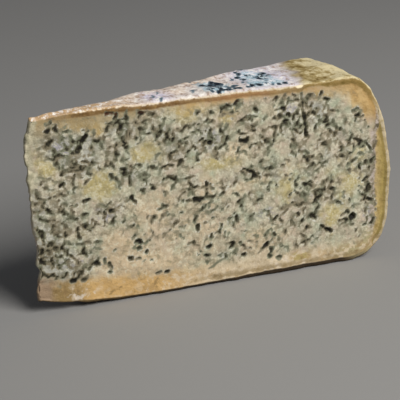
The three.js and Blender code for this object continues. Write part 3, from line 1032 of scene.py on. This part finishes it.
from_wall = WHEEL_RADIUS - 1 - out + up.over(60, 20) * 1.8 + up.over(50, 76) * 3
from_wall = rough(from_wall, speck=2.2, curd=1.8, blotch=2.6)
pink_strip = from_wall.over(11.9, 9.9) * wall_side * up.over(8, 20)
paste = pink_strip.mix(paste, rough(speck, grit=0.5).over(0.36, 0.62).mix(PINK_CREAM, PINK_BROWN))
mustard = from_wall.over(4.6, 8.2).mix(MUSTARD, PALE_MUSTARD)
mustard = rough(blotch, speck=1).over(0.42, 0.66).mix(mustard, DARK_MUSTARD)
groove = rough(crust, blotch=1.4, grit=0.6)
mustard = groove.over(4, 3.4).mix(mustard, GROOVE_BROWN)
paste = (from_wall.over(9, 7.8) * wall_side).mix(paste, mustard)
chain = from_wall.over(11.2, 9.8) * from_wall.over(7.8, 9) * wall_side * up.over(14, 22)
chain = chain * rough(blotch * 0.5 + curd * 0.5, speck=0.3).over(0.5, 0.58)
paste = (chain * 0.8).mix(paste, MOULD_CHAIN)
paste = (groove.over(2.6, 2) * wall_side).mix(paste, streaky.mix(RIM_CREAM, RIM_TAN))

# ---- The mould and the rims ---------------------------------------------------------------------
# Mould is blue-black in the openings, grey-green where it is thin, and rusty next to the rind, with a
# pale halo round it. The rind's edge is rolled over the cuts as a thin pale rim, brightened with a
# painted highlight, with a brown line under it, and beside the crack it is chipped, with a painted
# glint on the chip.

HALO_WHITE = (220, 219, 206)
FAINT_GREY = (136, 130, 108)
TIP_CREAM = (212, 203, 174)
TIP_GREY = (172, 167, 138)
LINE_BROWN = (118, 86, 44)
LINE_BY_TIP = (146, 124, 90)
LINE_FARTHER_OUT = (152, 112, 70)
LINE_BEFORE_CRACK = (144, 120, 78)
LINE_PAST_CRACK = (128, 106, 50)
LINE_STREAK = (178, 146, 92)
GREEN_MOULD = (128, 129, 106)
GREY_MOULD = (140, 130, 106)
DARK_MOULD = (66, 62, 44)
RUSTY_MOULD = (86, 56, 34)
BLACK_MOULD = (24, 21, 12)
BLACK_RUST = (58, 34, 20)
# The rolled rind's pale white, brightened into a painted highlight.
RIM_WHITE_AND_HIGHLIGHT = (246, 228, 198)
RIM_BROWN = (200, 166, 122)
RIM_FARTHER_OUT = (208, 192, 168)
RIM_NEAR_CRACK = (206, 192, 160)
RIM_BY_TIP = (168, 146, 112)
RIM_OILY = (194, 172, 128)
RIM_OILY_BROWN = (146, 122, 76)
# A painted glint on the chipped crumb beside the crack.
CHIP_WHITE_AND_GLINT = (250, 234, 196)

pale = attribute("halo") * rough(0.7, grit=4)
paste = pale.over(0.2, 0.9).mix(paste, HALO_WHITE)
paste = (faint.over(0, 0.7) * 0.7).mix(paste, FAINT_GREY)
tip_strip = rough(out, speck=4).over(3.5, 1.5) * up.over(48, 58)
paste = (tip_strip * 0.9).mix(paste, rough(curd, speck=0.6).over(0.4, 0.6).mix(TIP_CREAM, TIP_GREY))

chip_and_glint = rough(out, speck=2).over(115.8, 117.4) * out.over(120.4, 119)
rim_depth = out.over(3, 24) * 0.95 - out.over(50, 60) * out.over(76, 66) * 0.3
rim_depth = rim_depth - out.over(118, 120.5) * 0.4 + chip_and_glint * 0.8 + 0.2
under_rim = rough(crust, speck=1.4, broad=1.2) - rim_depth
under_rim = under_rim + out.over(119, 122) * 0.9 - out.over(125, 132) * 1.3
browned = under_rim.over(2.6, 1.4) * (1 - wall_side) * rough(out, speck=6).over(3, 10)
brown = rough(out, blotch=8).over(22, 12).mix(LINE_BROWN, LINE_BY_TIP)
brown = rough(out, blotch=12).over(70, 82).mix(brown, LINE_FARTHER_OUT)
brown = rough(out, blotch=8).over(98, 112).mix(brown, LINE_BEFORE_CRACK)
brown = out.over(119, 122).mix(brown, LINE_PAST_CRACK)
line_streaks = streaky * (broad * 0.5 + blotch * 0.5).over(0.46, 0.56) * 0.4
brown = line_streaks.mix(brown, LINE_STREAK)
unbroken = rough(broad * 0.4 + blotch * 0.6, speck=0.5).over(0.4, 0.56)
paste = (browned * (0.75 + unbroken * 0.25)).mix(paste, brown)

rusty = crust.over(5.5, 3.5) * (1 - wall_side) * out.over(20, 30)
thin_mould = hue.over(0.42, 0.58).mix(GREEN_MOULD, GREY_MOULD)
paste = tone.over(0.08, 0.45).mix(paste, thin_mould)
paste = tone.over(0.42, 0.86).mix(paste, rusty.mix(DARK_MOULD, RUSTY_MOULD))
paste = tone.over(0.8, 1.08).mix(paste, rusty.mix(BLACK_MOULD, BLACK_RUST))

oily_here = attribute("oily_top")
# The rim is the pale rolled rind, partly painted brighter as a highlight, and dimmed farther out.
rolled = crumbly.over(0.44, 0.64).mix(RIM_WHITE_AND_HIGHLIGHT, RIM_BROWN)
rolled = (rough(out, blotch=20).over(32, 44) * 0.5).mix(rolled, RIM_FARTHER_OUT)
rolled = (rough(out, blotch=20).over(74, 92) * 0.7).mix(rolled, RIM_NEAR_CRACK)
rolled = rough(out, speck=10).over(24, 6).mix(rolled, RIM_BY_TIP)
oily_rim = oily_here * wall_side.over(0.5, 0)
rolled = oily_rim.mix(rolled, streaky.mix(RIM_OILY, RIM_OILY_BROWN))
# The chip beside the crack is painted near-white: the chipped crumb with a painted glint on it.
rolled = chip_and_glint.mix(rolled, CHIP_WHITE_AND_GLINT)
rim = (rough(crust, speck=1.8) - rim_depth).over(0.35, -0.35)
cut_face = rim.mix(paste, rolled)

# ---- The bloom and the rind ---------------------------------------------------------------------
# The top has a chalky bloom of white mould, lilac and blue where the blue mould shows through. Near
# the wall it is bare, oily and olive. The wall is a dry, mottled rind with grey mould, and the base is
# brown from the shelf. Along the cut's foot a dark contact shadow is painted, with a painted highlight
# just above it and a painted band of shade above that.

WARM_BLOOM = (232, 214, 196)
COOL_BLOOM = (224, 214, 206)
GREY_BLOOM = (218, 213, 222)
LILAC_WHITE = (216, 210, 226)
BLOOM_WHITE = (255, 250, 242)
BLOOM_PIT = (172, 148, 130)
BARE_BY_TIP = (194, 162, 122)
PALE_BLUE = (178, 206, 218)
SLATE_BLUE = (112, 146, 162)
FROSTED_BLUE = (232, 240, 246)
OIL_YELLOW = (222, 208, 166)
OIL_OLIVE = (172, 152, 102)
OIL_BROWN = (126, 104, 54)
OIL_SPECK = (168, 148, 100)
BLUE_BLACK_EDGE = (98, 118, 130)
BLUE_BLACK = (26, 34, 44)
GLINT = (214, 230, 236)
RIND_TAN = (206, 180, 128)
RIND_BROWN = (164, 136, 84)
RIND_DUST = (222, 208, 176)
RIND_PIT = (122, 104, 66)
LOW_RIND = (142, 122, 88)
RIND_MOULD = (112, 114, 108)
SHELF_TAN = (150, 124, 84)
SHELF_BROWN = (104, 82, 52)
# Painted shade for the band a few millimetres above the cut's foot.
PAINTED_FOOT_SHADE = (154, 132, 92)
# A painted highlight for the lit edge just above the contact shadow.
PAINTED_FOOT_HIGHLIGHT = (220, 198, 162)
# Painted contact shadow along the cut's foot: brown by the tip, darker farther out.
CONTACT_SHADOW_BY_TIP = (92, 74, 46)
CONTACT_SHADOW_BROWN = (52, 40, 24)
BUMP_HEIGHT = 0.8

blue_here = attribute("blue_bloom")
lumps = rough(curd * 0.5 + speck * 0.5, grit=0.3)
bloom = broad.over(0.42, 0.58).mix(WARM_BLOOM, COOL_BLOOM)
bloom = (rough(out, curd=20).over(84, 100) * 0.7).mix(bloom, GREY_BLOOM)
bloom = rough(attribute("lilac_bloom"), curd=1).over(0.1, 0.8).mix(bloom, LILAC_WHITE)
bloom = lumps.over(0.48, 0.36).mix(bloom, BLOOM_WHITE)
bloom = lumps.over(0.5, 0.62).mix(bloom, BLOOM_PIT)
near_tip = out.over(56, 24) * rough(speck, grit=0.6).over(0.34, 0.56)
bloom = near_tip.mix(bloom, BARE_BY_TIP)
blue = rough(blue_here, speck=2)
bloom = (blue.over(0.3, 0.9) * lumps.over(0.4, 0.52)).mix(bloom, PALE_BLUE)
bloom = (blue * (curd - 0.3)).over(0.12, 0.32).mix(bloom, SLATE_BLUE)
frosted = blue_here.over(0.3, 0.7) * rough(speck, grit=0.6).over(0.5, 0.4)
bloom = (frosted * 0.9).mix(bloom, FROSTED_BLUE)
streaks = rough(blotch * 0.6 + curd * 0.6 + out.over(128, 144) * 0.18, grit=0.25)
oily = streaks.over(0.76, 0.6).mix(OIL_YELLOW, OIL_OLIVE)
oily = streaks.over(0.62, 0.5).mix(oily, OIL_BROWN)
oily = (crumbly.over(0.56, 0.72) * 0.6).mix(oily, OIL_SPECK)
bloom = oily_here.mix(bloom, oily)
top_mark = rough(attribute("mark_on_top"), grit=0.5, speck=0.5)
bloom = top_mark.over(0.12, 0.4).mix(bloom, BLUE_BLACK_EDGE)
bloom = top_mark.over(0.4, 0.8).mix(bloom, BLUE_BLACK)
glints = blue_here.over(0.4, 0.9) * (curd * 0.5 + speck * 0.5).over(0.53, 0.6)
bloom = glints.mix(bloom, GLINT)

rind = (blotch * 0.7 + broad * 0.3).over(0.44, 0.58).mix(RIND_TAN, RIND_BROWN)
rind = rough(curd, speck=1).over(0.5, 0.3).mix(rind, RIND_DUST)
rind = rough(blotch, speck=0.8).over(0.56, 0.72).mix(rind, RIND_PIT)
rind = (rough(up, blotch=20).over(40, 8) * 0.6).mix(rind, LOW_RIND)
rind = rough(crumbly, broad=1).over(0.62, 0.74).mix(rind, RIND_MOULD)
outside = rough(up, blotch=10).over(78, 68).mix(bloom, rind)

finish = rough(crust, speck=0.8).over(0.9, 0.3).mix(cut_face, outside)
# A painted band of shade a few millimetres above the cut's foot, farther out than the tip.
painted_foot_shade = rough(base, curd=4).over(2, 2.8) * rough(base, blotch=6).over(5.2, 3.2)
finish = (painted_foot_shade * out.over(60, 84) * 0.7).mix(finish, PAINTED_FOOT_SHADE)
# A painted highlight: a pale line on the lit edge just above the cut's foot.
painted_foot_highlight = rough(base, speck=1.2).over(2.6, 1.9) * rough(out, blotch=40).over(10, 24)
painted_foot_highlight = painted_foot_highlight * (broad * 0.5 + blotch * 0.5).over(0.54, 0.44)
finish = (painted_foot_highlight * 0.8).mix(finish, PAINTED_FOOT_HIGHLIGHT)
underside = rough(curd, grit=0.5).over(0.4, 0.62).mix(SHELF_TAN, SHELF_BROWN)
finish = rough(base, speck=0.8).over(0.95, 0.45).mix(finish, underside)
# A painted contact shadow: a dark line along the cut's foot, where the rounded base edge meets the table.
painted_contact_shadow = (rough(base, curd=0.7) - out.over(76, 110) * 0.7).over(1.75, 1.15)
painted_contact_shadow = painted_contact_shadow * out.over(8, 26) * out.over(160, 140)
finish = painted_contact_shadow.mix(finish, out.over(20, 60).mix(CONTACT_SHADOW_BY_TIP, CONTACT_SHADOW_BROWN))

roughness = 0.52 + speck * 0.2 + crust.over(1.5, 0.3) * 0.18 + tone.over(0.3, 0.9) * 0.1
bump_shape = rough(tone.over(0.2, 0.9) * -0.4, grit=0.4, speck=0.7)
bump = shade.make("Bump", {}, {"Height": bump_shape, "Strength": 0.6, "Distance": BUMP_HEIGHT * MM})
tree.links.new(finish.socket, surface.inputs["Base Color"])
tree.links.new(roughness.socket, surface.inputs["Roughness"])
tree.links.new(bump.socket, surface.inputs["Normal"])
surface.inputs["Specular IOR Level"].default_value = 0.3
mesh.materials.append(material)
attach(cheese, "root")
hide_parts("cheese_wedge")

# ---- Floor and light ----------------------------------------------------------------------------
# A plain, pale, matt table top, which the wedge stands on. One large softbox hangs in front of it and
# above, a little to the right, and a dim, even room light fills the shadows.

# In metres.
FLOOR_SIZE = 4
FLOOR_DROP = 0.0002
FLOOR_GREY = (150, 149, 147)
KEY_PLACE = Vector((0.3, -0.86, 0.95))
KEY_TARGET = Vector((0, 0, 0.04))
KEY_SIZE = 0.75
KEY_POWER = 18.1
KEY_TINT = (1, 0.98, 0.95)
ROOM_TINT = (0.9, 0.93, 1, 1)
ROOM_STRENGTH = 0.115

floor_mesh = bpy.data.meshes.new("floor")
half = FLOOR_SIZE / 2
floor_corners = [(-half, -half, 0), (half, -half, 0), (half, half, 0), (-half, half, 0)]
floor_mesh.from_pydata(floor_corners, [], [(0, 1, 2, 3)])
floor = bpy.data.objects.new("floor", floor_mesh)
floor.location.z = -FLOOR_DROP
bpy.context.collection.objects.link(floor)
floor_material = bpy.data.materials.new("floor")
floor_material.use_nodes = True
floor_surface = floor_material.node_tree.nodes["Principled BSDF"]
floor_surface.inputs["Base Color"].default_value = colour(*FLOOR_GREY)
floor_surface.inputs["Roughness"].default_value = 0.9
floor_mesh.materials.append(floor_material)

key_light = bpy.data.lights.new("key", "AREA")
key_light.size = KEY_SIZE
key_light.energy = KEY_POWER
key_light.color = KEY_TINT
key = bpy.data.objects.new("key", key_light)
key.location = KEY_PLACE
key.rotation_euler = (KEY_TARGET - KEY_PLACE).to_track_quat("-Z", "Y").to_euler()
bpy.context.collection.objects.link(key)
room = bpy.data.worlds.new("studio")
room.use_nodes = True
room_light = room.node_tree.nodes["Background"]
room_light.inputs["Color"].default_value = ROOM_TINT
room_light.inputs["Strength"].default_value = ROOM_STRENGTH
bpy.context.scene.world = room
bpy.context.scene.view_settings.view_transform = "Standard"
